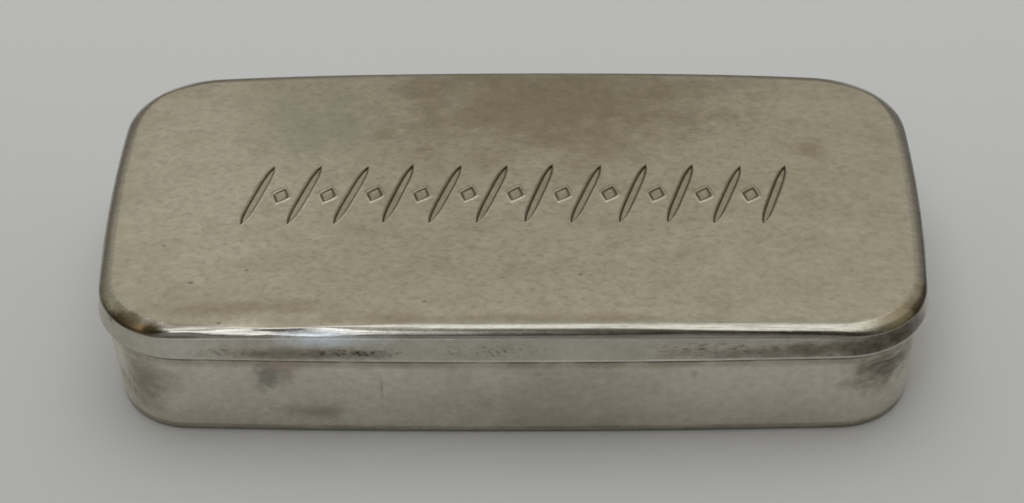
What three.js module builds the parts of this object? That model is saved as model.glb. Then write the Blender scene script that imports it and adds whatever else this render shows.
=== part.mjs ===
// A small oblong box for toothpicks, in silver-plated sheet metal, with a lid that slips over its base.
// Lengths are in millimetres and +Z is up. The origin is the middle of the underside, and X runs along
// the box. The lid and the base are each a thin band soldered to a plate.

import * as THREE from 'three';

// The whole box, measured over the lid's lower edge
const LENGTH = 80;
const WIDTH = 40.9;
const HEIGHT = 14.3;

// The outline: all four sides bow outwards a little, and the corners are arcs tangent to them
const SIDE_BOW = 0.85;
const END_BOW = 1.2;
const CORNER_RADIUS = 8.6;

// The lid: a plate with its edge rounded over, on a skirt that flares towards its lower edge
const LID_DEPTH = 3.9;
const PLATE_THICKNESS = 1.2;
const EDGE_DROP = 1;
const EDGE_REACH = 1.1;
const CORNER_EXTRA_REACH = 0.4;
const SKIRT_THICKNESS = 0.42;
const SKIRT_FLARE = 0.25;

// The base: a wall that leans in towards its foot, on a floor plate
const WALL_THICKNESS = 0.45;
const WALL_LEAN = 0.9;
const FLOOR_THICKNESS = 0.6;
const FLOOR_EDGE_RADIUS = 0.3;

// How closely the lid slips over the base, and how far the sheet's cut edges are eased
const SLIP_CLEARANCE = 0.12;
const EASED_EDGE = 0.08;

// Steps along each half side, each half end, each corner, and each rounded edge
const SIDE_STEPS = 5;
const END_STEPS = 3;
const CORNER_STEPS = 16;
const LID_EDGE_STEPS = 7;
const FLOOR_EDGE_STEPS = 4;

// Heights and insets that several pieces share. An inset is measured in from the lid's lower edge.
const seamHeight = HEIGHT - PLATE_THICKNESS;
const rimHeight = HEIGHT - LID_DEPTH;
const wallInsetAtRim = SKIRT_THICKNESS + SLIP_CLEARANCE;
const wallInsetAtTop = SKIRT_FLARE + wallInsetAtRim;
const wallInsetAtFoot = wallInsetAtRim + WALL_LEAN;

// The radius of an arc that rises by its bow over half its chord
function bowedRadius(halfChord, bow) {
  return (halfChord * halfChord + bow * bow) / (2 * bow);
}

// The point at two given distances from two centres, on the side away from the origin
function pointAtDistances(first, firstDistance, second, secondDistance) {
  const between = second.clone().sub(first);
  const apart = between.length();
  const along = (firstDistance ** 2 - secondDistance ** 2 + apart ** 2) / (2 * apart);
  const across = Math.sqrt(firstDistance ** 2 - along ** 2);
  const direction = between.divideScalar(apart);
  const sideways = new THREE.Vector2(-direction.y, direction.x);
  return first.clone().addScaledVector(direction, along).addScaledVector(sideways, across);
}

// Stations along one arc of the outline. A point set in from the outline at a station is the arc's
// centre plus a shorter radius in the same direction. The corner share is 1 halfway round a corner.
function arcStations(centre, radius, fromAngle, toAngle, steps, isCorner) {
  const stations = [];
  for (let step = 0; step < steps; step += 1) {
    const share = step / steps;
    const angle = THREE.MathUtils.lerp(fromAngle, toAngle, share);
    const direction = new THREE.Vector2(Math.cos(angle), Math.sin(angle));
    const cornerShare = isCorner ? Math.sin(Math.PI * share) ** 2 : 0;
    stations.push({ centre, radius, direction, cornerShare });
  }
  return stations;
}

// One quarter of the outline, from the middle of the right end to just short of the back's middle
function quarterStations() {
  const sideRadius = bowedRadius(LENGTH / 2, SIDE_BOW);
  const endRadius = bowedRadius(WIDTH / 2, END_BOW);
  const side = new THREE.Vector2(0, WIDTH / 2 - sideRadius);
  const end = new THREE.Vector2(LENGTH / 2 - endRadius, 0);
  const corner = pointAtDistances(end, endRadius - CORNER_RADIUS, side, sideRadius - CORNER_RADIUS);
  if (corner.x < 0) throw new Error('the corner arc has no place on this outline');
  const endAngle = corner.clone().sub(end).angle();
  const sideAngle = corner.clone().sub(side).angle();
  return [
    ...arcStations(end, endRadius, 0, endAngle, END_STEPS, false),
    ...arcStations(corner, CORNER_RADIUS, endAngle, sideAngle, CORNER_STEPS, true),
    ...arcStations(side, sideRadius, sideAngle, Math.PI / 2, SIDE_STEPS, false),
    ...arcStations(side, sideRadius, Math.PI / 2, 0, 1, false),
  ];
}

// A station mirrored across one axis or both
function mirrored(station, xSign, ySign) {
  const flip = new THREE.Vector2(xSign, ySign);
  return {
    ...station,
    centre: station.centre.clone().multiply(flip),
    direction: station.direction.clone().multiply(flip),
  };
}

// The whole outline, anticlockwise from the middle of the right end
function outlineStations() {
  const quarter = quarterStations();
  const back = quarter.toReversed().slice(1).map((station) => mirrored(station, -1, 1));
  const rightAndBack = [...quarter, ...back];
  const front = rightAndBack.slice(1, -1).toReversed().map((station) => mirrored(station, 1, -1));
  return [...rightAndBack, ...front];
}

// Points of a profile are [inset, height] pairs. They run up the outside and down the inside.
function stationPoint(station, [inset, height]) {
  const reach = station.radius - inset;
  const x = station.centre.x + station.direction.x * reach;
  const y = station.centre.y + station.direction.y * reach;
  return [x, y, height];
}

// Skins one profile at every station: the corners of each facet between two stations
function skinFacets(stationCount, profileCount, isClosed) {
  const facets = [];
  const bands = isClosed ? profileCount : profileCount - 1;
  for (let station = 0; station < stationCount; station += 1) {
    const here = station * profileCount;
    const next = ((station + 1) % stationCount) * profileCount;
    for (let band = 0; band < bands; band += 1) {
      const above = (band + 1) % profileCount;
      facets.push(here + band, next + band, next + above);
      facets.push(here + band, next + above, here + above);
    }
  }
  return facets;
}

function makeGeometry(positions, facets) {
  const geometry = new THREE.BufferGeometry();
  geometry.setAttribute('position', new THREE.Float32BufferAttribute(positions, 3));
  geometry.setIndex(facets);
  geometry.computeVertexNormals();
  return geometry;
}

// A band bent round the outline and closed on itself
function bandGeometry(stations, profileAt) {
  const positions = [];
  for (const station of stations) {
    for (const point of profileAt(station)) positions.push(...stationPoint(station, point));
  }
  const profileCount = profileAt(stations[0]).length;
  return makeGeometry(positions, skinFacets(stations.length, profileCount, true));
}

// A plate: the profile of its edge, from the underside's rim to the top's rim, and two flat faces
function plateGeometry(stations, profileAt) {
  const positions = [];
  for (const station of stations) {
    for (const point of profileAt(station)) positions.push(...stationPoint(station, point));
  }
  const profile = profileAt(stations[0]);
  const profileCount = profile.length;
  const facets = skinFacets(stations.length, profileCount, false);
  const underMiddle = stations.length * profileCount;
  const topMiddle = underMiddle + 1;
  positions.push(0, 0, profile[0][1]);
  positions.push(0, 0, profile[profileCount - 1][1]);
  for (let station = 0; station < stations.length; station += 1) {
    const here = station * profileCount;
    const next = ((station + 1) % stations.length) * profileCount;
    facets.push(underMiddle, next, here);
    facets.push(topMiddle, here + profileCount - 1, next + profileCount - 1);
  }
  return makeGeometry(positions, facets);
}

// The lid's plate. Its edge is a quarter of an ellipse that reaches further in round the corners,
// where the metal was worked down the most.
function lidTopProfile(station) {
  const reach = EDGE_REACH + CORNER_EXTRA_REACH * station.cornerShare;
  const points = [[SKIRT_FLARE, seamHeight]];
  for (let step = 0; step <= LID_EDGE_STEPS; step += 1) {
    const turn = (Math.PI / 2) * (step / LID_EDGE_STEPS);
    const inset = SKIRT_FLARE + reach * (1 - Math.cos(turn));
    points.push([inset, HEIGHT - EDGE_DROP * (1 - Math.sin(turn))]);
  }
  return points;
}

// The lid's skirt hangs from the plate's underside and flares to the full outline at its lower edge
function lidSkirtProfile() {
  return [
    [EASED_EDGE, rimHeight],
    [0, rimHeight + EASED_EDGE],
    [SKIRT_FLARE, seamHeight],
    [SKIRT_FLARE + SKIRT_THICKNESS, seamHeight],
    [SKIRT_THICKNESS, rimHeight + EASED_EDGE],
    [SKIRT_THICKNESS - EASED_EDGE, rimHeight],
  ];
}

// The base's wall. Above the lid's lower edge it is drawn in alongside the skirt, so the lid slips
// over it, and its upper edge carries the lid's plate.
function baseWallProfile() {
  return [
    [wallInsetAtFoot, FLOOR_THICKNESS],
    [wallInsetAtRim, rimHeight],
    [wallInsetAtTop, seamHeight - EASED_EDGE],
    [wallInsetAtTop + EASED_EDGE, seamHeight],
    [wallInsetAtTop + WALL_THICKNESS - EASED_EDGE, seamHeight],
    [wallInsetAtTop + WALL_THICKNESS, seamHeight - EASED_EDGE],
    [wallInsetAtRim + WALL_THICKNESS, rimHeight],
    [wallInsetAtFoot + WALL_THICKNESS, FLOOR_THICKNESS],
  ];
}

// The floor plate, flush with the wall's foot, with its lower edge rounded
function baseFloorProfile() {
  const points = [];
  for (let step = 0; step <= FLOOR_EDGE_STEPS; step += 1) {
    const turn = (Math.PI / 2) * (step / FLOOR_EDGE_STEPS);
    const inset = wallInsetAtFoot + FLOOR_EDGE_RADIUS * (1 - Math.sin(turn));
    points.push([inset, FLOOR_EDGE_RADIUS * (1 - Math.cos(turn))]);
  }
  points.push([wallInsetAtFoot, FLOOR_THICKNESS]);
  return points;
}

// Tarnished silver plate: warm grey, a little darker where hands don't polish it
function silver(color, roughness) {
  return new THREE.MeshStandardMaterial({ color, roughness, metalness: 1 });
}

function piece(name, geometry, material) {
  const mesh = new THREE.Mesh(geometry, material);
  mesh.name = name;
  return mesh;
}

const stations = outlineStations();

const lid = new THREE.Group();
lid.add(
  piece('lid_top', plateGeometry(stations, lidTopProfile), silver('#a59d8a', 0.36)),
  piece('lid_skirt', bandGeometry(stations, lidSkirtProfile), silver('#97928a', 0.34)),
);

const base = new THREE.Group();
base.add(
  piece('base_wall', bandGeometry(stations, baseWallProfile), silver('#938c81', 0.38)),
  piece('base_floor', plateGeometry(stations, baseFloorProfile), silver('#8b847a', 0.42)),
);

const box = new THREE.Group();
box.add(lid, base);

export default box;
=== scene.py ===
import math
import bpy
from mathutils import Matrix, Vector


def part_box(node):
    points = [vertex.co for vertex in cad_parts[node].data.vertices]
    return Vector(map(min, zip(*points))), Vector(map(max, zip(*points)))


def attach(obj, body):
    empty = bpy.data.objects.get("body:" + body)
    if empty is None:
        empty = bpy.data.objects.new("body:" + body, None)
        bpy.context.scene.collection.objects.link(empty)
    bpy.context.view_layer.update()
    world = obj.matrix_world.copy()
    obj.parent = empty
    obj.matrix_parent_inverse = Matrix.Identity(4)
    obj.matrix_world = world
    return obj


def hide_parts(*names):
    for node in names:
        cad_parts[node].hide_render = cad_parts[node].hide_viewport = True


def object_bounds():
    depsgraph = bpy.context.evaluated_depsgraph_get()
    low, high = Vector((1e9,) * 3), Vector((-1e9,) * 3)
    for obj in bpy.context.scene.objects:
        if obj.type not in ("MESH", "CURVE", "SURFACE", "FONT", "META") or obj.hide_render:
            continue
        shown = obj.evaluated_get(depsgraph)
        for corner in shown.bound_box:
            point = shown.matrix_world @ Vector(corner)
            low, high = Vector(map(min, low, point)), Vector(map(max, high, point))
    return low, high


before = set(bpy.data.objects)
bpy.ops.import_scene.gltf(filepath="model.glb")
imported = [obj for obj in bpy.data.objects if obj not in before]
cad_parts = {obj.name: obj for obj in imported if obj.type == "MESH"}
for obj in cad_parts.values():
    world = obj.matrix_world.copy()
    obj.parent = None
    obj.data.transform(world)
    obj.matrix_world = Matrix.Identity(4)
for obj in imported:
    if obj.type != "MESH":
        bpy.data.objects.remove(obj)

from types import SimpleNamespace

import bmesh
import bpy
from mathutils import Matrix, Vector

cad_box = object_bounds()
MM = 0.001

# The camera looks down on the box's long front from a hand's height, with a long lens. Its place was
# worked out from the box's outlines: how far it stands off, how high, and how it leans.
CAMERA_DISTANCE = 283.8 * MM
CAMERA_ELEVATION = math.radians(40.0)
CAMERA_SWING = math.radians(1.5)
CAMERA_LEAN = math.radians(-1.1)
CAMERA_TARGET = Vector((-0.25, 0.0, 6.75)) * MM
FOCAL_LENGTH_PIXELS = 2854
PICTURE_WIDTH_PIXELS = 1024
SENSOR_WIDTH = 36.0

camera_data = bpy.data.cameras.new("camera")
camera_data.sensor_width = SENSOR_WIDTH
camera_data.lens = SENSOR_WIDTH * FOCAL_LENGTH_PIXELS / PICTURE_WIDTH_PIXELS
camera_data.clip_start = 0.01
camera_data.clip_end = 20.0
camera = bpy.data.objects.new("camera", camera_data)
bpy.context.collection.objects.link(camera)
camera_turn = (
    Matrix.Rotation(CAMERA_SWING, 4, "Z")
    @ Matrix.Rotation(math.pi / 2 - CAMERA_ELEVATION, 4, "X")
    @ Matrix.Rotation(CAMERA_LEAN, 4, "Z")
)
camera.matrix_world = (
    Matrix.Translation(CAMERA_TARGET) @ camera_turn @ Matrix.Translation((0, 0, CAMERA_DISTANCE))
)
bpy.context.scene.camera = camera


# The table: a smooth pale grey sheet, wide enough to fill every view and to lie in the metal's
# reflections. It is matt, so the box leaves only a soft shadow on it.
TABLE_WIDTH = 3.0
TABLE_BACK = "#D4D7DD"
TABLE_FRONT_SHADED = "#C1C3C7"
# How far behind and in front of the box the table's painted shade changes from the one colour to the other
TABLE_SHADE_REACH = 60 * MM


def linear(hex_colour):
    """An sRGB hex colour as linear red, green, blue and alpha."""
    channels = [int(hex_colour[i:i + 2], 16) / 255 for i in (1, 3, 5)]
    return (*[c / 12.92 if c <= 0.04045 else ((c + 0.055) / 1.055) ** 2.4 for c in channels], 1.0)


def add_node(tree, kind, inputs=None, **settings):
    """Adds a node with its settings. Each input is a value, or the output that feeds it."""
    node = tree.nodes.new(kind)
    for name, value in settings.items():
        setattr(node, name, value)
    for name, value in (inputs or {}).items():
        if isinstance(value, bpy.types.NodeSocket):
            tree.links.new(value, node.inputs[name])
        else:
            node.inputs[name].default_value = value
    return node


def new_material(name):
    """A material with a bare Principled shader, its node tree and that shader."""
    material = bpy.data.materials.new(name)
    material.use_nodes = True
    return material, material.node_tree, material.node_tree.nodes["Principled BSDF"]


# Matt paint, sprayed: no gloss, with painted shade that darkens its colour a little towards the front,
# where less light falls
table_material, table_tree, table_shader = new_material("matt_paint")
table_place = add_node(table_tree, "ShaderNodeTexCoord").outputs["Object"]
table_parts = add_node(table_tree, "ShaderNodeSeparateXYZ", {"Vector": table_place})
table_front_shade = add_node(
    table_tree, "ShaderNodeMapRange",
    {"Value": table_parts.outputs["Y"], "From Min": TABLE_SHADE_REACH, "From Max": -TABLE_SHADE_REACH},
).outputs["Result"]
# Painted shade: the table's colour turns from the back's to the darker, shaded front's
table_colour = add_node(
    table_tree, "ShaderNodeMix",
    {"Factor": table_front_shade, "A": linear(TABLE_BACK), "B": linear(TABLE_FRONT_SHADED)}, data_type="RGBA",
).outputs["Result"]
table_tree.links.new(table_colour, table_shader.inputs["Base Color"])
table_shader.inputs["Roughness"].default_value = 0.7
table_shader.inputs["Specular IOR Level"].default_value = 0.2

table_bm = bmesh.new()
bmesh.ops.create_grid(table_bm, x_segments=2, y_segments=2, size=TABLE_WIDTH / 2)
bmesh.ops.translate(table_bm, verts=table_bm.verts, vec=(0, 0, cad_box[0][2]))
table_mesh = bpy.data.meshes.new("table")
table_bm.to_mesh(table_mesh)
table_bm.free()
table = bpy.data.objects.new("table", table_mesh)
bpy.context.collection.objects.link(table)
table_mesh.materials.append(table_material)


# The light: a broad bright ceiling light a little behind the box, with a bay of it that comes down in
# front at the left, in a room that is dark on the camera's side, and one soft window in front. The
# metal's rounded edge draws the ceiling, the dark side and the window together into thin lines.
ROOM_STRENGTH = 1.8
# How high each colour stands in the room, as the sine of its elevation
BACK_COLOURS = (
    (0.0, "#6B6861"), (0.45, "#7A766F"), (0.6, "#9D998D"), (0.75, "#A6A297"), (1.0, "#ADAAA2"),
)
FRONT_COLOURS = ((0.0, "#4C4942"), (0.5, "#4C4942"), (0.85, "#5D5A53"), (1.0, "#807D77"))
SIDE_COLOURS = (
    (0.0, "#5C574C"), (0.3, "#6E6959"), (0.57, "#8C8874"), (0.8, "#B4B09C"), (1.0, "#BAB7AA"),
)
# Where the room's front gives way to its back and to its sides, as parts of the direction
FRONT_TO_BACK = (-0.35, 0.35)
SIDE_WALLS = (0.52, 0.85)
# Where the ceiling light ends sideways, to the front, to the back and above the ground
CEILING_SIDES = (0.56, 0.34)
CEILING_FRONT = (-0.30, -0.14)
CEILING_BACK = (0.74, 0.25)
CEILING_FOOT = 0.2
CEILING_COLOUR = "#FFFFFC"
# Where its bay ends at its right, its left, its foot and its back, and how bright it is beside it
BAY_RIGHT = (-0.08, -0.13)
BAY_LEFT = (-0.46, -0.32)
BAY_FOOT = (0.5, 0.66)
BAY_BACK = (0.1, -0.1)
BAY_SHARE = 0.9

world = bpy.data.worlds.new("room")
bpy.context.scene.world = world
world.use_nodes = True
room = world.node_tree
look = add_node(room, "ShaderNodeTexCoord").outputs["Generated"]
look_parts = add_node(room, "ShaderNodeSeparateXYZ", {"Vector": look})
sides = []
for colours in (FRONT_COLOURS, BACK_COLOURS, SIDE_COLOURS):
    ramp = add_node(room, "ShaderNodeValToRGB", {"Fac": look_parts.outputs["Z"]})
    for height, colour in colours[1:-1]:
        ramp.color_ramp.elements.new(height)
    for element, (height, colour) in zip(ramp.color_ramp.elements, colours):
        element.position = height
        element.color = linear(colour)
    sides.append(ramp.outputs["Color"])
backwards = add_node(
    room, "ShaderNodeMapRange",
    {"Value": look_parts.outputs["Y"], "From Min": FRONT_TO_BACK[0], "From Max": FRONT_TO_BACK[1]},
    interpolation_type="SMOOTHSTEP",
).outputs["Result"]
all_round = add_node(
    room, "ShaderNodeMix", {"Factor": backwards, "A": sides[0], "B": sides[1]}, data_type="RGBA"
).outputs["Result"]
sideways = add_node(
    room, "ShaderNodeMath", {0: look_parts.outputs["X"]}, operation="ABSOLUTE"
).outputs["Value"]
at_sides = add_node(
    room, "ShaderNodeMapRange", {"Value": sideways, "From Min": SIDE_WALLS[0], "From Max": SIDE_WALLS[1]},
    interpolation_type="SMOOTHSTEP",
).outputs["Result"]
all_round = add_node(
    room, "ShaderNodeMix", {"Factor": at_sides, "A": all_round, "B": sides[2]}, data_type="RGBA"
).outputs["Result"]


def overlap(tree, masks):
    """How far some masks all cover a place: their product. A mask may also be one number."""
    product, *others = masks
    for other in others:
        product = add_node(
            tree, "ShaderNodeMath", {0: product, 1: other}, operation="MULTIPLY"
        ).outputs["Value"]
    return product


above_ground = add_node(
    room, "ShaderNodeMapRange", {"Value": look_parts.outputs["Z"], "From Max": CEILING_FOOT}
).outputs["Result"]


def lit_part(limits):
    """A mask over the room above the ground, within soft limits along the direction's parts."""
    masks = [above_ground]
    for value, (dark_at, bright_at) in limits:
        masks.append(add_node(
            room, "ShaderNodeMapRange", {"Value": value, "From Min": dark_at, "From Max": bright_at},
            interpolation_type="SMOOTHSTEP",
        ).outputs["Result"])
    return overlap(room, masks)


ceiling = lit_part((
    (sideways, CEILING_SIDES),
    (look_parts.outputs["Y"], CEILING_FRONT),
    (look_parts.outputs["Y"], CEILING_BACK),
))
bay = lit_part((
    (look_parts.outputs["X"], BAY_RIGHT),
    (look_parts.outputs["X"], BAY_LEFT),
    (look_parts.outputs["Z"], BAY_FOOT),
    (look_parts.outputs["Y"], BAY_BACK),
))
lit = add_node(
    room, "ShaderNodeMath", {0: ceiling, 1: overlap(room, (bay, BAY_SHARE))}, operation="MAXIMUM"
).outputs["Value"]
all_round = add_node(
    room, "ShaderNodeMix", {"Factor": lit, "A": all_round, "B": linear(CEILING_COLOUR)}, data_type="RGBA"
).outputs["Result"]
room.links.new(all_round, room.nodes["Background"].inputs["Color"])
room.nodes["Background"].inputs["Strength"].default_value = ROOM_STRENGTH

WINDOW_TURN = math.radians(17)
WINDOW_RISE = math.radians(28)
WINDOW_DISTANCE = 0.8
WINDOW_SIZE = (0.30, 0.46)
WINDOW_RADIANCE = 2.5
WINDOW_COLOUR = "#F4F8FF"
window_data = bpy.data.lights.new("window", "AREA")
window_data.shape = "RECTANGLE"
window_data.size, window_data.size_y = WINDOW_SIZE
window_data.energy = WINDOW_RADIANCE * math.pi * WINDOW_SIZE[0] * WINDOW_SIZE[1]
window_data.color = linear(WINDOW_COLOUR)[:3]
window = bpy.data.objects.new("window", window_data)
bpy.context.collection.objects.link(window)
window.location = WINDOW_DISTANCE * Vector((
    -math.sin(WINDOW_TURN) * math.cos(WINDOW_RISE),
    -math.cos(WINDOW_TURN) * math.cos(WINDOW_RISE),
    math.sin(WINDOW_RISE),
))
window.rotation_euler = (-window.location).to_track_quat("-Z", "Y").to_euler()
# It is flagged off the table, which lies in the ceiling's light alone
window.visible_diffuse = False


# The floor plate of the base: one flat sheet of plated brass, soldered under the wall and filed
# flush with it, with its lower edge rounded where it wears on the table.
SIDE_BOW = 0.85 * MM
END_BOW = 1.2 * MM
CORNER_RADIUS = 8.6 * MM
FLOOR_EDGE_RADIUS = 0.58 * MM
FLOOR_EDGE_STEPS = 5
ARC_STEPS = {"end": 16, "corner": 32, "side": 52}
MERGE_DISTANCE = 0.001 * MM
BRIDGE_STEP = 1.0 * MM
# The tarnish and the waves of rubbed silver plate: how large each kind is, in millimetres. The mottle
# and the scratches are drawn coarser than real ones, which are finer than a tenth of a millimetre
BROAD_SIZE = 100 / 7
CLOUD_SIZE = 10 / 3
MOTTLE_SIZE = 10 / 13
WAVE_SIZE = 50 / 7
# How much the clouds count beside the broad patches, how they are drawn out along the box, where the
# tarnish starts and is full, how far the mottle darkens and lightens, and how much tarnish dulls
CLOUD_SHARE = 0.45
DRAWN_OUT = 0.82
TARNISH_RANGE = (0.3, 0.7)
MOTTLE_RANGE = (0.86, 1.08)
TARNISH_DULLING = 0.06
# How far the clouds break up the edge of a patch, and which part of a patch is at full strength
RAGGED_REACH = 4.0
PATCH_CORE = 0.1
# Where scratches start and are full in their noise, and the same for the breaks in an edge line, whether
# dirt, wear, painted shade or painted reflection, with what is left of the line there and which part of
# its width is at full strength
SCRATCH_RANGE = (0.5, 0.68)
BREAK_RANGE = (0.35, 0.6)
BREAK_LEAST = 0.45
LINE_CORE = 0.3

half_length = (cad_box[1][0] - cad_box[0][0]) / 2
half_width = (cad_box[1][1] - cad_box[0][1]) / 2
floor_low, floor_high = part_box("base_floor")
foot_inset = half_length - floor_high[0]


def bowed(half_chord, bow):
    """The radius of an arc that rises by its bow over half its chord."""
    return (half_chord ** 2 + bow ** 2) / (2 * bow)


def outline_arcs(corner_radius):
    """The end, corner and side arcs of the outline's first quarter: centre, radius, start and turn."""
    side_radius = bowed(half_length, SIDE_BOW)
    end_radius = bowed(half_width, END_BOW)
    side = Vector((0, half_width - side_radius))
    end = Vector((half_length - end_radius, 0))
    side_reach = side_radius - corner_radius
    end_reach = end_radius - corner_radius
    between = side - end
    apart = between.length
    along = (end_reach ** 2 - side_reach ** 2 + apart ** 2) / (2 * apart)
    across = math.sqrt(end_reach ** 2 - along ** 2)
    direction = between / apart
    corner = end + direction * along + Vector((direction.y, -direction.x)) * across
    if corner.x < 0:
        corner = end + direction * along - Vector((direction.y, -direction.x)) * across
    end_turn = math.atan2(*(corner - end).yx)
    side_turn = math.atan2(*(corner - side).yx)
    return (
        (end, end_radius, 0, end_turn, ARC_STEPS["end"]),
        (corner, corner_radius, end_turn, side_turn - end_turn, ARC_STEPS["corner"]),
        (side, side_radius, side_turn, math.pi / 2 - side_turn, ARC_STEPS["side"]),
    )


def edges_of(verts):
    """The edges at some vertices, each once and always in the same order."""
    return list(dict.fromkeys(e for v in verts for e in v.link_edges))


def outline(bm, inset, height, corner_radius=CORNER_RADIUS):
    """The box's outline, set in and raised: three arcs, mirrored twice. Returns its edges."""
    kept = set(bm.verts)
    for centre, radius, start, turn, steps in outline_arcs(corner_radius):
        reach = radius - inset
        first = bm.verts.new(
            (centre.x + reach * math.cos(start), centre.y + reach * math.sin(start), height)
        )
        bmesh.ops.spin(
            bm, geom=[first], cent=(*centre, height), axis=(0, 0, 1), angle=turn, steps=steps
        )
    for axis in ("X", "Y"):
        quarter = [v for v in bm.verts if v not in kept]
        edges = edges_of(quarter)
        bmesh.ops.mirror(bm, geom=quarter + edges, axis=axis, merge_dist=MERGE_DISTANCE)
    loop = [v for v in bm.verts if v not in kept]
    bmesh.ops.remove_doubles(bm, verts=loop, dist=MERGE_DISTANCE)
    return edges_of(v for v in bm.verts if v not in kept)


def bridge(bm, loops, heights, closed=False):
    """Bridges loops of edges, each to the next, and then brings them to their heights. They come a
    step apart, because the operator can turn a loop round that lies level with its neighbour."""
    pairs = list(zip(loops, loops[1:]))
    if closed:
        pairs.append((loops[-1], loops[0]))
    for first, second in pairs:
        bmesh.ops.bridge_loops(bm, edges=first + second)
    for loop, height in zip(loops, heights):
        for edge in loop:
            for vert in edge.verts:
                vert.co.z = height


def loft(bm, levels, closed=False):
    """Skins the outlines that a list of levels gives: an inset, a height and perhaps the corner's
    radius. Returns each outline's edges."""
    loops = [
        outline(bm, inset, step * BRIDGE_STEP, *radius)
        for step, (inset, _, *radius) in enumerate(levels)
    ]
    bridge(bm, loops, [level[1] for level in levels], closed)
    return loops


def press(bm, place, size, push):
    """Pushes the sheet softly in or out round a place. All three are in millimetres."""
    for vert in bm.verts:
        away = [(c / MM - p) / s for c, p, s in zip(vert.co, place, size)]
        vert.co += Vector(push) * MM * math.exp(-sum(a * a for a in away))


def finish_piece(bm, name, body, material, sharp=35):
    """Makes the piece's object, smooth but for edges of a number of degrees, and sets it in the frame."""
    bmesh.ops.recalc_face_normals(bm, faces=bm.faces)
    mesh = bpy.data.meshes.new(name)
    bm.to_mesh(mesh)
    bm.free()
    mesh.shade_smooth()
    mesh.set_sharp_from_angle(angle=math.radians(sharp))
    mesh.materials.append(material)
    piece = bpy.data.objects.new(name, mesh)
    bpy.context.collection.objects.link(piece)
    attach(piece, body)
    return piece


def mix_colour(finish, colour, *masks):
    """Lays another colour over the finish, as far as all the masks cover it."""
    finish.colour = add_node(
        finish.tree, "ShaderNodeMix",
        {"Factor": overlap(finish.tree, masks), "A": finish.colour, "B": linear(colour)},
        data_type="RGBA",
    ).outputs["Result"]


def mix_roughness(finish, roughness, *masks):
    """Polishes the finish, or dulls it, as far as all the masks cover it."""
    finish.rough = add_node(
        finish.tree, "ShaderNodeMix",
        {"Factor": overlap(finish.tree, masks), "A": finish.rough, "B": roughness},
        data_type="FLOAT",
    ).outputs["Result"]


def plate_silver(name, clean, tarnish, roughness, seed):
    """Silver plate rubbed with a cloth: clean metal under a thin cloudy tarnish, drawn out a little
    along the box, with a fine mottle. Returns the finish, to which stains and wear are added."""
    material, tree, shader = new_material(name)
    shader.inputs["Metallic"].default_value = 1.0
    place = add_node(tree, "ShaderNodeTexCoord").outputs["Object"]
    in_mm = add_node(
        tree, "ShaderNodeMapping",
        {"Vector": place, "Scale": (1 / MM, 1 / MM, 1 / MM), "Location": (seed, 0, 0)},
    ).outputs["Vector"]
    drawn_out = add_node(
        tree, "ShaderNodeMapping",
        {"Vector": place, "Scale": (DRAWN_OUT / MM, 1 / MM, 1 / MM), "Location": (0, seed, 0)},
    ).outputs["Vector"]
    parts = add_node(tree, "ShaderNodeSeparateXYZ", {"Vector": place})
    along, height = (
        add_node(
            tree, "ShaderNodeMath", {0: parts.outputs[axis], 1: 1 / MM}, operation="MULTIPLY"
        ).outputs["Value"]
        for axis in ("X", "Z")
    )
    broad = add_node(
        tree, "ShaderNodeTexNoise",
        {"Vector": in_mm, "Scale": 1 / BROAD_SIZE, "Detail": 2.0, "Roughness": 0.5},
    ).outputs["Fac"]
    cloud = add_node(
        tree, "ShaderNodeTexNoise",
        {"Vector": drawn_out, "Scale": 1 / CLOUD_SIZE, "Detail": 9.0, "Roughness": 0.67},
    ).outputs["Fac"]
    mottle = add_node(
        tree, "ShaderNodeTexNoise",
        {"Vector": drawn_out, "Scale": 1 / MOTTLE_SIZE, "Detail": 6.0, "Roughness": 0.66},
    ).outputs["Fac"]
    wave = add_node(
        tree, "ShaderNodeTexNoise",
        {"Vector": in_mm, "Scale": 1 / WAVE_SIZE, "Detail": 2.0, "Roughness": 0.4},
    ).outputs["Fac"]
    soft = add_node(
        tree, "ShaderNodeMix", {"Factor": CLOUD_SHARE, "A": broad, "B": cloud}, data_type="FLOAT"
    ).outputs["Result"]
    dull = add_node(
        tree, "ShaderNodeMapRange",
        {"Value": soft, "From Min": TARNISH_RANGE[0], "From Max": TARNISH_RANGE[1]},
    ).outputs["Result"]
    colour = add_node(
        tree, "ShaderNodeMix", {"Factor": dull, "A": linear(clean), "B": linear(tarnish)}, data_type="RGBA"
    ).outputs["Result"]
    flecks = add_node(
        tree, "ShaderNodeMapRange",
        {"Value": mottle, "From Min": TARNISH_RANGE[0], "From Max": TARNISH_RANGE[1],
         "To Min": MOTTLE_RANGE[0], "To Max": MOTTLE_RANGE[1]},
    ).outputs["Result"]
    rough = add_node(
        tree, "ShaderNodeMapRange",
        {"Value": dull, "To Min": roughness, "To Max": roughness + TARNISH_DULLING},
    ).outputs["Result"]
    return SimpleNamespace(
        material=material, tree=tree, shader=shader, place=place, cloud=cloud, mottle=mottle,
        flecks=flecks, colour=colour, rough=rough, wave=wave, along=along, height=height,
    )


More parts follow.
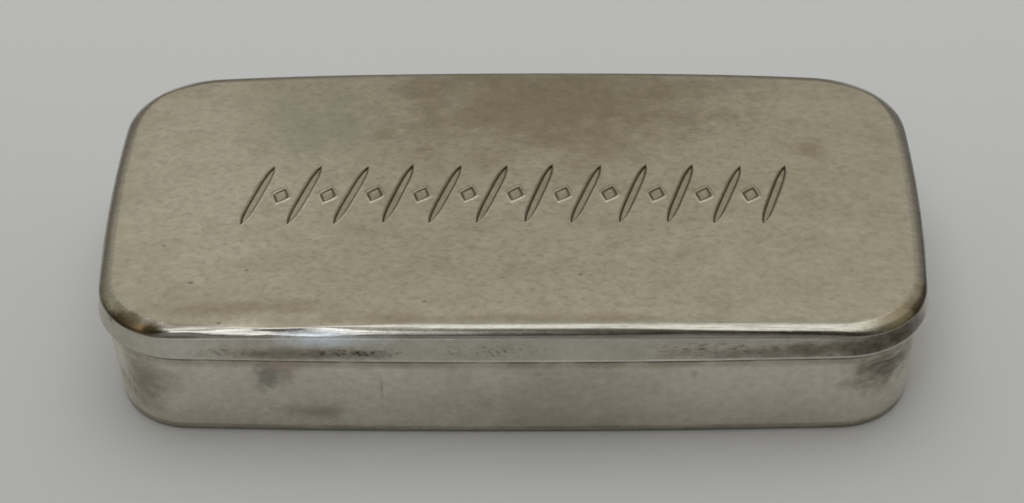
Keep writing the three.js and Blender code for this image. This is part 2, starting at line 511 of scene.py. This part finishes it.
def patch(finish, centre, size, strength, ragged=0.5):
    """A mask for a soft patch round a place in millimetres, its edge broken up by the tarnish."""
    tree = finish.tree
    near = add_node(
        tree, "ShaderNodeMapping",
        {"Vector": finish.place, "Location": [-c / s for c, s in zip(centre, size)],
         "Scale": [1 / (s * MM) for s in size]},
    ).outputs["Vector"]
    distance = add_node(
        tree, "ShaderNodeVectorMath", {"Vector": near}, operation="LENGTH"
    ).outputs["Value"]
    reach = RAGGED_REACH * ragged
    edge = add_node(
        tree, "ShaderNodeMath", {0: finish.cloud, 1: -reach, 2: distance}, operation="MULTIPLY_ADD"
    ).outputs["Value"]
    return add_node(
        tree, "ShaderNodeMapRange",
        {"Value": edge, "From Min": 1.0 - reach / 2, "From Max": PATCH_CORE - reach / 2,
         "To Max": strength},
        interpolation_type="SMOOTHSTEP",
    ).outputs["Result"]


def stain(finish, centre, size, colour, strength, ragged=0.5, within=()):
    """Tarnish of another colour over a soft patch, which may be kept within other masks."""
    mix_colour(finish, colour, patch(finish, centre, size, strength, ragged), *within)


def scuffs(finish, centre, size, grain, turn, colour, strength):
    """A patch of short fine scratches that run one way: their size in millimetres is the grain."""
    tree = finish.tree
    turned = add_node(
        tree, "ShaderNodeMapping",
        {"Vector": finish.place, "Rotation": turn, "Scale": [1 / (g * MM) for g in grain]},
    ).outputs["Vector"]
    lines = add_node(
        tree, "ShaderNodeTexNoise", {"Vector": turned, "Scale": 1.0, "Detail": 2.0, "Roughness": 0.6}
    ).outputs["Fac"]
    deep = add_node(
        tree, "ShaderNodeMapRange",
        {"Value": lines, "From Min": SCRATCH_RANGE[0], "From Max": SCRATCH_RANGE[1]},
    ).outputs["Result"]
    mix_colour(finish, colour, deep, patch(finish, centre, size, strength, ragged=0.3))


def edge_line(finish, level, middle, spread, colour, strength, fades=None):
    """A thin uneven line all round the box, at one level of the piece: dirt, bright wear, painted shade
    or painted reflection. It may fade in along the box: from a place, to a place, and from which share
    of itself."""
    tree = finish.tree
    off = add_node(tree, "ShaderNodeMath", {0: level, 1: middle}, operation="SUBTRACT").outputs["Value"]
    away = add_node(tree, "ShaderNodeMath", {0: off}, operation="ABSOLUTE").outputs["Value"]
    line = add_node(
        tree, "ShaderNodeMapRange",
        {"Value": away, "From Min": spread, "From Max": spread * LINE_CORE, "To Max": strength},
        interpolation_type="SMOOTHSTEP",
    ).outputs["Result"]
    uneven = add_node(
        tree, "ShaderNodeMapRange",
        {"Value": finish.cloud, "From Min": BREAK_RANGE[0], "From Max": BREAK_RANGE[1],
         "To Min": BREAK_LEAST},
    ).outputs["Result"]
    masks = [line, uneven]
    if fades:
        masks.append(add_node(
            tree, "ShaderNodeMapRange",
            {"Value": finish.along, "From Min": fades[0], "From Max": fades[1], "To Min": fades[2]},
            interpolation_type="SMOOTHSTEP",
        ).outputs["Result"])
    mix_colour(finish, colour, *masks)


def finish_silver(finish, wave_depth, grain_depth):
    """Links the finish to its shader: a fine mottle over all its colours, the sheet's slight waves
    and the fine grain of its skin, as deep as so many millimetres."""
    tree = finish.tree
    colour = add_node(
        tree, "ShaderNodeMix", {"Factor": 1.0, "A": finish.colour, "B": finish.flecks},
        data_type="RGBA", blend_type="MULTIPLY",
    ).outputs["Result"]
    waves = add_node(
        tree, "ShaderNodeBump", {"Height": finish.wave, "Strength": 1.0, "Distance": wave_depth * MM}
    ).outputs["Normal"]
    grain = add_node(
        tree, "ShaderNodeBump",
        {"Height": finish.mottle, "Strength": 1.0, "Distance": grain_depth * MM, "Normal": waves},
    ).outputs["Normal"]
    tree.links.new(colour, finish.shader.inputs["Base Color"])
    tree.links.new(finish.rough, finish.shader.inputs["Roughness"])
    tree.links.new(grain, finish.shader.inputs["Normal"])
    return finish.material


floor_bm = bmesh.new()
floor_levels = []
for step in range(FLOOR_EDGE_STEPS + 1):
    turn = math.pi / 2 * step / FLOOR_EDGE_STEPS
    floor_levels.append((
        foot_inset + FLOOR_EDGE_RADIUS * (1 - math.sin(turn)),
        floor_low[2] + FLOOR_EDGE_RADIUS * (1 - math.cos(turn)),
    ))
floor_levels.append((foot_inset, floor_high[2]))
floor_loops = loft(floor_bm, floor_levels)
for rim in (floor_loops[0], floor_loops[-1]):
    bmesh.ops.edgeloop_fill(floor_bm, edges=rim)
# Silver plate, rubbed on many tables: dull, with long scratches that cross, dark and bright
floor_finish = plate_silver("silver_plate_scuffed", "#BDB8AC", "#9A9383", 0.34, 3)
scuffs(floor_finish, (0, 0, 0), (60, 40, 0.4), (5.0, 0.12, 1), (0, 0, 0.5), "#8B8372", 0.8)
scuffs(floor_finish, (0, 0, 0), (60, 40, 0.4), (7.0, 0.15, 1), (0, 0, -1.0), "#EDE8DC", 0.6)
base_floor = finish_piece(
    floor_bm, "floor_plate", "base", finish_silver(floor_finish, 0.03, 0.003)
)
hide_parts("base_floor")


# The wall of the base: one thin band bent round and soldered to the floor plate, with a small
# bead of solder left inside its foot. It leans in towards its foot, and its upper edge is drawn in
# so that the lid slips over it.
WALL_THICKNESS = 0.45 * MM
SKIRT_THICKNESS = 0.42 * MM
SLIP_CLEARANCE = 0.12 * MM
SKIRT_FLARE = 0.25 * MM
EASED_EDGE = 0.08 * MM
SOLDER_BEAD = 0.35 * MM
BEAD_HOLLOW = 0.3
WALL_STEPS = 5
# Two lines of painted shade, a broad and a thin one, lie this far under the lid's edge, in millimetres
BROAD_SHADE_DROP = 0.6
THIN_SHADE_DROP = 0.45

wall_low, wall_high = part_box("base_wall")
skirt_low, skirt_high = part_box("lid_skirt")
rim_inset = SKIRT_THICKNESS + SLIP_CLEARANCE
lip_inset = rim_inset + SKIRT_FLARE


def leaning(first, second, steps):
    """Inset and height pairs along a straight slope, without its last."""
    for step in range(steps):
        share = step / steps
        yield tuple(a + (b - a) * share for a, b in zip(first, second))


# The lid's plate has sagged towards its ends, and the bands' upper parts with it: how far at the most,
# how steeply, how much of that in the middle of the width, and how much more at the front and at the
# right than there
SAG = 1.25 * MM
SAG_POWER = 3
SAG_IN_MIDDLE = 0.7
SAG_TO_FRONT = 0.3
SAG_TO_RIGHT = 0.15
sag_foot = skirt_low[2]
sag_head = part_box("lid_top")[1][2]


def sag(bm):
    """Lowers a piece towards its ends: not at all at the lid's lower edge, and fully at its top."""
    for vert in bm.verts:
        share = max((vert.co.z - sag_foot) / (sag_head - sag_foot), 0)
        across = SAG_IN_MIDDLE - SAG_TO_FRONT * vert.co.y / half_width
        along = vert.co.x / half_length
        vert.co.z -= SAG * share * across * (1 + SAG_TO_RIGHT * along) * abs(along) ** SAG_POWER


wall_bm = bmesh.new()
wall_levels = [
    *leaning((foot_inset, wall_low[2]), (rim_inset, skirt_low[2]), WALL_STEPS),
    (rim_inset, skirt_low[2]),
    (lip_inset, wall_high[2] - EASED_EDGE),
    (lip_inset + EASED_EDGE, wall_high[2]),
    (lip_inset + WALL_THICKNESS - EASED_EDGE, wall_high[2]),
    (lip_inset + WALL_THICKNESS, wall_high[2] - EASED_EDGE),
    (rim_inset + WALL_THICKNESS, skirt_low[2]),
    (foot_inset + WALL_THICKNESS, wall_low[2] + SOLDER_BEAD),
    (foot_inset + WALL_THICKNESS + SOLDER_BEAD * BEAD_HOLLOW, wall_low[2] + SOLDER_BEAD * BEAD_HOLLOW),
    (foot_inset + WALL_THICKNESS + SOLDER_BEAD, wall_low[2]),
]
loft(wall_bm, wall_levels, closed=True)
sag(wall_bm)
# Silver plate, rubbed with a cloth and left to tarnish: soft reflections under thin grey-brown clouds,
# darker and scratched at the corners, with painted shade just under the lid's edge
wall_finish = plate_silver("silver_plate_tarnished", "#E2DCCE", "#CDC6B6", 0.25, 11)
# Broad clouds, light at the right and darker in the middle, and then both corners
stain(wall_finish, (24.0, -19.6, 5.5), (16.0, 3, 8.0), "#EDE2D2", 0.42, 0.3)
stain(wall_finish, (4.0, -19.6, 5.0), (14.0, 3, 8.0), "#B7B1A2", 0.5, 0.4)
stain(wall_finish, (-34.7, -17, 6.5), (4.0, 4.5, 5.5), "#8E8576", 0.8, 0.4)
scuffs(wall_finish, (-36.4, -16, 4.6), (2.4, 4, 2.4), (0.25, 0.25, 1.6), (0, 0.7, 0), "#5E5547", 0.8)
stain(wall_finish, (35.2, -17, 7.3), (5.0, 5.5, 4.4), "#6F6759", 0.85, 0.5)
scuffs(wall_finish, (35.0, -17, 7.8), (3.4, 4.5, 3.4), (1.9, 1.9, 0.28), (0, 0.5, 0), "#4B443A", 0.9)
# Stains at the left of the front, a scratch and a few small spots, two lines of painted shade under
# the lid's edge, and a darker line along the foot
stain(wall_finish, (-21.6, -19.6, 9.0), (3.4, 3, 1.7), "#B59E8E", 0.7, 0.4)
stain(wall_finish, (-22.6, -19.6, 7.6), (2.6, 3, 2.6), "#8A867F", 0.8, 0.5)
stain(wall_finish, (-18.8, -19.6, 3.0), (5.0, 3, 1.6), "#A7A090", 0.7, 0.6)
for x, z, width, height in (
    (-12.3, 6.5, 0.25, 2.3), (7.8, 6.4, 0.5, 0.5), (2.4, 8.2, 0.5, 0.5), (17.2, 8.1, 0.8, 0.8),
):
    stain(wall_finish, (x, -19.6, z), (width, 1, height), "#A39D90", 0.5, 0.3)
# Painted shade: a broad and a thin dark line on the wall under the lid's edge, where the lid shades it
edge_line(wall_finish, wall_finish.height, skirt_low[2] / MM - BROAD_SHADE_DROP, 1.1, "#8D8677", 0.6)
edge_line(wall_finish, wall_finish.height, skirt_low[2] / MM - THIN_SHADE_DROP, 0.32, "#4F493E", 0.85)
# The wall is darker along its foot
edge_line(wall_finish, wall_finish.height, wall_low[2] / MM, 0.5, "#8A8376", 0.6)
base_wall = finish_piece(
    wall_bm, "wall_band", "base", finish_silver(wall_finish, 0.05, 0.008)
)
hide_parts("base_wall")


# The lid's skirt: a thin band soldered under the lid's plate. It flares a little, and more so just
# above its lower edge, which is rubbed bright. Tarnish sits in its pits along the front.
SKIRT_STEPS = 6
SEAM_EASE = 0.02 * MM
LIP_HEIGHT = 0.42 * MM
LIP_FLARE = 0.045 * MM
# Where the curves of the eased edge and of the lip pass, as shares of each
EASED_SHARE = 0.3
LIP_SHARES = (0.75, 0.6)
# The bright line of wear stands this far above the skirt's lower edge, in millimetres
LIP_WEAR_HEIGHT = 0.12
# Where the lid's edge was knocked or worn down: place, size and push in millimetres
KNOCKS = (
    ((-26.6, -20.1, 13.9), (2.4, 0.9, 0.6), (0, 0.03, -0.12)),
    ((-24.3, -20.0, 13.9), (1.3, 0.9, 0.6), (0, 0.03, -0.1)),
    ((-18.6, -20.1, 13.6), (4.0, 1.2, 0.3), (0, 0, -0.16)),
)


def bare_patch(finish):
    """Rubs the plate down to bright, roughened silver at the top of the lid's front, at the left."""
    mask = patch(finish, (-17.0, -20.2, 12.95), (6.4, 3, 1.2), 1.0, 0.45)
    mix_colour(finish, "#E2E7EE", mask)
    mix_roughness(finish, 0.38, mask)


skirt_bm = bmesh.new()
skirt_levels = [
    (EASED_EDGE, skirt_low[2]),
    (EASED_EDGE * EASED_SHARE, skirt_low[2] + EASED_EDGE * EASED_SHARE),
    (0, skirt_low[2] + EASED_EDGE),
    (LIP_FLARE * LIP_SHARES[0], skirt_low[2] + LIP_HEIGHT * LIP_SHARES[1]),
    *leaning(
        (LIP_FLARE, skirt_low[2] + LIP_HEIGHT), (SKIRT_FLARE, skirt_high[2] - SEAM_EASE), SKIRT_STEPS
    ),
    (SKIRT_FLARE, skirt_high[2] - SEAM_EASE),
    (SKIRT_FLARE + SEAM_EASE, skirt_high[2]),
    (SKIRT_FLARE + SKIRT_THICKNESS, skirt_high[2]),
    (SKIRT_THICKNESS, skirt_low[2] + EASED_EDGE),
    (SKIRT_THICKNESS - EASED_EDGE, skirt_low[2]),
]
loft(skirt_bm, skirt_levels, closed=True)
sag(skirt_bm)
for knock in KNOCKS:
    press(skirt_bm, *knock)
# Silver plate, held by fingers at every use: brighter than the wall, with dark pits along the front
skirt_finish = plate_silver("silver_plate_handled", "#C8C3B7", "#B7B2A5", 0.22, 23)
# Bright and dark patches and pits along the front, dark corners, and the bright lower edge
stain(skirt_finish, (-31.0, -19.6, 11.6), (6.5, 3, 2.4), "#D6D2C8", 0.6, 0.3)
stain(skirt_finish, (-22.0, -20.2, 11.2), (9.0, 3, 1.0), "#8A8275", 0.85, 0.5)
stain(skirt_finish, (-15.0, -20.2, 11.3), (5.5, 3, 0.8), "#77726A", 0.7, 0.6)
stain(skirt_finish, (27.0, -20.2, 11.3), (13.0, 3, 1.5), "#75695A", 0.85, 0.45)
scuffs(skirt_finish, (-26.0, -20.2, 11.2), (6.5, 3, 0.9), (0.9, 0.5, 0.4), (0, 0, 0), "#6A6256", 0.8)
scuffs(skirt_finish, (-14.5, -20.2, 11.4), (6.5, 3, 1.0), (0.5, 0.5, 0.35), (0, 0, 0), "#3F3A33", 0.9)
scuffs(skirt_finish, (-2.0, -20.2, 11.7), (9.0, 3, 1.0), (0.4, 0.5, 0.3), (0, 0, 0), "#6E685C", 0.7)
scuffs(skirt_finish, (21.0, -20.2, 11.8), (12.0, 3, 1.3), (0.9, 0.5, 0.3), (0, 0.2, 0), "#5A5347", 0.8)
stain(skirt_finish, (35.0, -17.8, 11.6), (8.0, 6.5, 3.4), "#4A4136", 0.95, 0.3)
stain(skirt_finish, (-39.0, -13.8, 12.6), (0.6, 0.7, 0.5), "#4F493C", 0.8, 0.3)
stain(skirt_finish, (-37.9, -16.6, 12.3), (0.5, 0.6, 0.4), "#3F3A30", 0.9, 0.3)
edge_line(
    skirt_finish, skirt_finish.height, skirt_low[2] / MM + LIP_WEAR_HEIGHT, 0.2, "#F0EDE6", 0.6,
    (-34, 20, 0.15),
)
bare_patch(skirt_finish)
lid_skirt = finish_piece(
    skirt_bm, "skirt_band", "lid", finish_silver(skirt_finish, 0.04, 0.008)
)
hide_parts("lid_skirt")


# The lid's plate: a thicker sheet, soldered on the skirt, with its edge filed and polished round.
# The edge is broader round the corners, and the face falls away a little towards it. A row of slim
# pointed picks with lozenges between them is struck in the middle of the face with punches.
EDGE_REACH = 1.1 * MM
LID_EDGE_STEPS = 10
# The rounded edge ends this far above the seam
SEAM_RISE = 0.08 * MM
# The corner arcs grow by this from the seam to the face: how steeply, and how much they swell halfway
CORNER_GROWTH = 1.0 * MM
GROWTH_POWER = 1.6
GROWTH_SWELL = 0.35
# How far the face falls away towards its edge, and the rings that carry it, in millimetres
FALL = 0.06 * MM
FALL_INSETS = (1.6, 2.0, 2.6, 3.4, 4.5, 6.0)
# The punches raised a lip round each mark, the lid's highest place, which stands this far over the face
BURR_HEIGHT = 0.075 * MM
# The face is cut across at every step of this size, so that it bends as it sags
SAG_CUT = 2.0 * MM
CUT_SNAP = 0.02 * MM
# At the corners the edge was filed to a slope: how far the file went in under the round, how sharply
# that keeps to the corners along and across the box, and its peak there before it is brought to one
FOLD = 0.2 * MM
FOLD_POWERS = (8, 4)
FOLD_PEAK = 0.37
# Where the edge was left fuller: at the front along its top and its left corner, at the right along
# its shoulder, and at the back. Place, size and push in millimetres, before the plate sagged
FULLER = (
    ((-21.0, -18.6, 14.15), (8.5, 0.75, 0.6), (0, -0.8, 0)),
    ((-33.0, -19.3, 13.95), (4.0, 0.5, 0.35), (0, -0.25, 0.18)),
    ((22.0, -19.75, 13.72), (8.5, 0.4, 0.25), (0, -0.12, 0.06)),
    ((0.0, 19.1, 14.15), (36.0, 0.8, 0.5), (0, 0.4, 0)),
    ((35.9, 16.1, 14.15), (3.2, 3.2, 0.5), (0.33, 0.33, 0)),
    ((-35.9, 16.1, 14.15), (3.2, 3.2, 0.5), (-0.33, 0.33, 0)),
)
ROW_CENTRE = Vector((0.2, -0.1, 0)) * MM
ROW_LENGTH = 53.2 * MM
ROW_HEIGHT = 8.8 * MM
PICK_COUNT = 12
PICK_SLANT = math.radians(-17)
PICK_HALF_WIDTH = 0.42 * MM
LOZENGE_HALF_LENGTH = 1.15 * MM
LOZENGE_HALF_WIDTH = 0.8 * MM
# How each mark tapers from its middle to its points: at which power of the way, and how bluntly
PICK_TAPER = (4, 0.9)
LOZENGE_TAPER = (1.3, 1.0)
PUNCH_DEPTH = 0.24 * MM
LOZENGE_DEPTH_SHARE = 0.85
MARK_SEGMENTS = 44
# A vertex this near a mark's long axis, as a share of its width, is one of its points
ON_AXIS = 1e-6
# The row was struck by hand: how far picks and lozenges stray from it, how far they turn in radians,
# how unevenly deep they are, and how the hand changes from one mark to the next
PICK_STRAY = 0.1 * MM
LOZENGE_STRAY = 0.15 * MM
PICK_TURN = 0.02
LOZENGE_TURN = 0.03
DEPTH_STRAY = 0.08
HAND_STEP = 2.3
HAND_START = 0.7
# The struck section, from the level face inwards: how far out from the mark's outline as a share of
# its half width, how high as a share of the punch's depth, and how much dirt it holds
STRUCK_SECTION = (
    (0.62, 0.0, 0.0), (0.46, 0.0, 0.0), (0.3, 0.12, 0.0), (0.16, 0.29, 0.0), (0.04, 0.2, 0.1),
    (-0.08, -0.3, 0.5), (-0.2, -0.78, 1.0), (-0.34, -0.96, 0.8), (-0.6, -1.0, 0.3),
)
# The streaks of the polished edge: their size in millimetres, where they start and are full in their
# noise, and how strongly they colour it. Then how dark the dirt in the struck marks is
STREAK_SIZE = (6.25, 1 / 7, 1 / 7)
STREAK_RANGE = (0.5, 0.64)
STREAK_TINT = 0.5
DIRT_STRENGTH = 0.8

top_low, top_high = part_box("lid_top")
field_height = top_high[2] - BURR_HEIGHT
edge_drop = field_height - FALL - top_low[2] - SEAM_RISE


def strike(bm, dirt, centre, turn, half_length, half_width, depth, taper):
    """Punches one slim mark, pointed at both ends, and returns the edges of its outermost ring."""
    rings = []
    for step, (out_share, _, dirt_share) in enumerate(STRUCK_SECTION):
        ring = bmesh.ops.create_circle(bm, segments=MARK_SEGMENTS, radius=1.0)["verts"]
        width = half_width * (1 + out_share)
        length = half_length + half_width * out_share
        for vert in ring:
            across, along = vert.co.x, vert.co.y
            slim = (1 - min(abs(along), 1) ** taper[0]) ** taper[1]
            side = math.copysign(slim, across) if abs(across) > ON_AXIS else 0
            vert.co = Vector((side * width, along * length, step * BRIDGE_STEP))
            vert[dirt] = dirt_share
        bmesh.ops.rotate(bm, verts=ring, cent=(0, 0, 0), matrix=Matrix.Rotation(turn, 3, "Z"))
        bmesh.ops.translate(bm, verts=ring, vec=centre)
        rings.append(edges_of(ring))
    bridge(bm, rings, [centre.z + height_share * depth for _, height_share, _ in STRUCK_SECTION])
    bmesh.ops.edgeloop_fill(bm, edges=rings[-1])
    return rings[0]


top_bm = bmesh.new()
dirt_layer = top_bm.verts.layers.float.new("dirt")
polish_layer = top_bm.verts.layers.float.new("polish")
lowness_layer = top_bm.verts.layers.float.new("lowness")
top_levels = [(SKIRT_FLARE + SEAM_EASE, top_low[2]), (SKIRT_FLARE, top_low[2] + SEAM_EASE)]
for step in range(LID_EDGE_STEPS + 1):
    turn = math.pi / 2 * step / LID_EDGE_STEPS
    growth = math.sin(turn) ** GROWTH_POWER * (1 + GROWTH_SWELL * math.sin(2 * turn))
    top_levels.append((
        SKIRT_FLARE + EDGE_REACH * (1 - math.cos(turn)),
        field_height - FALL - edge_drop * (1 - math.sin(turn)),
        CORNER_RADIUS + CORNER_GROWTH * growth,
    ))
polished_count = len(top_levels)
edge_inset = SKIRT_FLARE + EDGE_REACH
flat_inset = FALL_INSETS[-1] * MM
for inset in FALL_INSETS:
    left = 1 - (inset * MM - edge_inset) / (flat_inset - edge_inset)
    top_levels.append((inset * MM, field_height - FALL * left ** 2, CORNER_RADIUS + CORNER_GROWTH))
top_loops = loft(top_bm, top_levels)
for loop in top_loops[:polished_count]:
    for edge in loop:
        for vert in edge.verts:
            vert[polish_layer] = 1.0
            vert[lowness_layer] = 1.0
bmesh.ops.edgeloop_fill(top_bm, edges=top_loops[0])
for step, loop in enumerate(top_loops[2:polished_count]):
    under = math.cos(math.pi / 2 * step / LID_EDGE_STEPS)
    for vert in {v for e in loop for v in e.verts}:
        vert[lowness_layer] = 1 - step / LID_EDGE_STEPS
        endness = abs(vert.co.x / half_length) ** FOLD_POWERS[0]
        sideness = abs(vert.co.y / half_width) ** FOLD_POWERS[1]
        cornerness = min(endness * sideness / FOLD_PEAK, 1)
        vert.co.z -= FOLD * cornerness * 4 * under * (1 - under)

row_height = Vector((0, 0, field_height))
pick_half = ROW_HEIGHT / 2 / math.cos(PICK_SLANT)
pick_pitch = (ROW_LENGTH - 2 * pick_half * math.sin(-PICK_SLANT)) / (PICK_COUNT - 1)
field_edges = list(top_loops[-1])
for index in range(PICK_COUNT):
    hand = math.sin(HAND_STEP * index + HAND_START)
    along_row = (index - (PICK_COUNT - 1) / 2) * pick_pitch
    centre = ROW_CENTRE + row_height + Vector((along_row, PICK_STRAY * hand, 0))
    field_edges += strike(
        top_bm, dirt_layer, centre, PICK_SLANT + PICK_TURN * hand, pick_half, PICK_HALF_WIDTH,
        PUNCH_DEPTH * (1 + DEPTH_STRAY * hand), PICK_TAPER,
    )
    if index < PICK_COUNT - 1:
        between = centre + Vector((pick_pitch / 2, -LOZENGE_STRAY * hand, 0))
        field_edges += strike(
            top_bm, dirt_layer, between, PICK_SLANT - LOZENGE_TURN * hand, LOZENGE_HALF_LENGTH,
            LOZENGE_HALF_WIDTH, PUNCH_DEPTH * (LOZENGE_DEPTH_SHARE - DEPTH_STRAY * hand), LOZENGE_TAPER,
        )
bmesh.ops.triangle_fill(top_bm, edges=field_edges, use_beauty=True)
cut_count = round(half_length / SAG_CUT)
for index in range(1 - cut_count, cut_count):
    everything = [*top_bm.verts, *top_bm.edges, *top_bm.faces]
    bmesh.ops.bisect_plane(
        top_bm, geom=everything, dist=CUT_SNAP, plane_co=(index * SAG_CUT, 0, 0), plane_no=(1, 0, 0)
    )
for place in FULLER:
    press(top_bm, *place)
sag(top_bm)
for knock in KNOCKS:
    press(top_bm, *knock)

# Silver plate, polished along its edge and rubbed dull over its face: the edge shows sharp lines of
# light, and the face is soft and brown with old tarnish, with dirt in the struck marks
top_finish = plate_silver("silver_plate_polished", "#B4AFA1", "#A8A292", 0.33, 37)
# The face: lighter at the left, brown at the back and along the front, with scratches and spots
stain(top_finish, (-31.0, 2.0, 14), (20.0, 26.0, 3), "#C2BDB0", 0.7, 0.5)
stain(top_finish, (1.0, 15.0, 14), (27.0, 15.0, 3), "#989080", 0.8, 0.3)
stain(top_finish, (5.0, 15.0, 14), (23.0, 12.5, 3), "#867E6B", 0.65, 0.4)
stain(top_finish, (-26.0, -16.7, 14), (13.0, 1.7, 3), "#8B8371", 0.6, 0.4)
stain(top_finish, (3.0, -18.5, 14), (30.0, 1.1, 3), "#8E8675", 0.6, 0.4)
scuffs(top_finish, (0, 0, 14.2), (80, 60, 8), (0.7, 0.5, 1), (0, 0, 0.3), "#857E6D", 0.35)
scuffs(top_finish, (0, 0, 14.2), (80, 60, 8), (4.5, 3.5, 1), (0, 0, 0.6), "#8C8471", 0.25)
stain(top_finish, (-19.6, 11.4, 14), (10.5, 9.0, 3), "#9E9C8E", 0.7, 0.4)
for x, y, size in ((2.5, 12.8, 1.6), (13.1, 12.0, 1.4), (-13.0, 9.3, 1.5), (29.4, 7.0, 1.8)):
    stain(top_finish, (x, y, 14), (size * 1.3, size, 3), "#887F6B", 0.4, 0.6)
for x, y, size in (
    (-33.5, -7.3, 0.4), (-25.2, -11.3, 0.35), (-30.4, -12.9, 0.45), (-27.2, -18.7, 0.4),
    (-0.9, -12.7, 0.4), (6.5, -12.3, 0.35), (-8.1, -16.1, 0.4),
):
    stain(top_finish, (x, y, 14), (size * 0.9, size * 0.6, 1), "#6A6152", 0.75, 0.15)
# The polished edge, with fine streaks along the box
top_tree = top_finish.tree
polish = add_node(top_tree, "ShaderNodeAttribute", attribute_name="polish").outputs["Fac"]
mix_roughness(top_finish, 0.17, polish)
mix_colour(top_finish, "#A6A39A", polish)
streaks = add_node(
    top_tree, "ShaderNodeMapping",
    {"Vector": top_finish.place, "Scale": [1 / (s * MM) for s in STREAK_SIZE]},
).outputs["Vector"]
streak = add_node(
    top_tree, "ShaderNodeTexNoise", {"Vector": streaks, "Scale": 1.0, "Detail": 3.0, "Roughness": 0.6}
).outputs["Fac"]
streak_mask = add_node(
    top_tree, "ShaderNodeMapRange",
    {"Value": streak, "From Min": STREAK_RANGE[0], "From Max": STREAK_RANGE[1]},
).outputs["Result"]
mix_colour(top_finish, "#77736A", polish, streak_mask, STREAK_TINT)
mix_roughness(top_finish, 0.3, polish, streak_mask)
# Dark and worn corners on the edge, and painted reflection: dark lines along the rounded edge that stand
# in for the dark room in front, which it mirrors
lowness = add_node(top_tree, "ShaderNodeAttribute", attribute_name="lowness").outputs["Fac"]
for centre, size, colour, strength in (
    ((-36.4, -17.6, 12.9), (4.6, 3.6, 2.2), "#5F5644", 0.9),
    ((-37.2, -16.8, 13.1), (2.4, 2.2, 1.0), "#453B26", 0.8),
    ((-34.5, -18.9, 12.8), (1.5, 1.2, 0.8), "#A98D6C", 0.9),
    ((-33.6, -19.2, 13.35), (1.9, 1.0, 0.5), "#3B3426", 0.9),
    ((36.6, -17.2, 12.9), (5.4, 5.2, 2.2), "#958C74", 0.75),
    ((38.2, -15.4, 12.3), (2.6, 3.0, 0.9), "#4B4236", 0.8),
):
    stain(top_finish, centre, size, colour, strength, 0.6, within=(polish,))
# Painted reflection: these dark lines on the rounded edge stand in for the dark front of the room
edge_line(top_finish, lowness, 0.66, 0.24, "#4F4A41", 0.72, (-20, 4, 0.0))
edge_line(top_finish, lowness, 0.88, 0.2, "#4F4A41", 0.7, (-28, -31, 0.0))
edge_line(top_finish, lowness, 0.88, 0.16, "#4F4A41", 0.35, (20, 28, 0.0))
bare_patch(top_finish)
dirt = add_node(top_tree, "ShaderNodeAttribute", attribute_name="dirt").outputs["Fac"]
mix_colour(top_finish, "#6B6252", dirt, DIRT_STRENGTH)
lid_top = finish_piece(
    top_bm, "lid_plate", "lid", finish_silver(top_finish, 0.06, 0.014), sharp=50
)
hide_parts("lid_top")


# The view shows the colours as they are
bpy.context.scene.view_settings.view_transform = "Standard"
